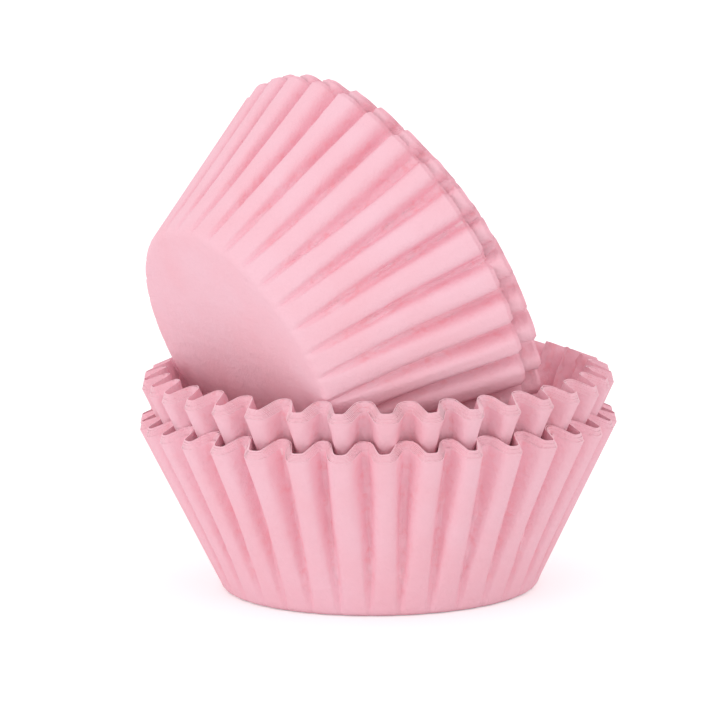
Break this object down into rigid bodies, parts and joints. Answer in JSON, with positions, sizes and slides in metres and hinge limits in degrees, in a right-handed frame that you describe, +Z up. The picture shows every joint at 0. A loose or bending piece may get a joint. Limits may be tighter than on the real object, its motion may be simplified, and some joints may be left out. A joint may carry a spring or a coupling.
{
  "type": "stack of cupcake liners",
  "caption": "Pleated pink paper baking cups nested in tight stacks, an upright pair of nests with a tipped pair lying in its mouth.",
  "frame": {"origin": "middle of the lowest liner's flat floor, on the surface that the stack stands on", "axes": "+Z up; the nests' open side that faces the viewer is -Y; the tipped nests' mouths point up towards +X and +Y"},
  "size_m": [0.0742, 0.0742, 0.0811],
  "materials": {
    "lower_paper": "matte greaseproof paper",
    "upper_paper": "matte greaseproof paper",
    "tipped_paper": "matte greaseproof paper"
  },
  "bodies": {
    "root": {"lower_liner_01": "lower_paper", "lower_liner_02": "lower_paper", "lower_liner_03": "lower_paper", "lower_liner_04": "lower_paper", "lower_liner_05": "lower_paper", "lower_liner_06": "lower_paper", "lower_liner_07": "lower_paper", "lower_liner_08": "lower_paper", "tipped_inner_liner_01": "tipped_paper", "tipped_inner_liner_02": "tipped_paper", "tipped_inner_liner_03": "tipped_paper", "tipped_inner_liner_04": "tipped_paper", "tipped_inner_liner_05": "tipped_paper", "tipped_outer_liner_01": "tipped_paper", "tipped_outer_liner_02": "tipped_paper", "tipped_outer_liner_03": "tipped_paper", "tipped_outer_liner_04": "tipped_paper", "tipped_outer_liner_05": "tipped_paper", "upper_liner_01": "upper_paper", "upper_liner_02": "upper_paper", "upper_liner_03": "upper_paper", "upper_liner_04": "upper_paper", "upper_liner_05": "upper_paper", "upper_liner_06": "upper_paper", "upper_liner_07": "upper_paper", "upper_liner_08": "upper_paper", "upper_liner_09": "upper_paper"}
  },
  "joints": []
}
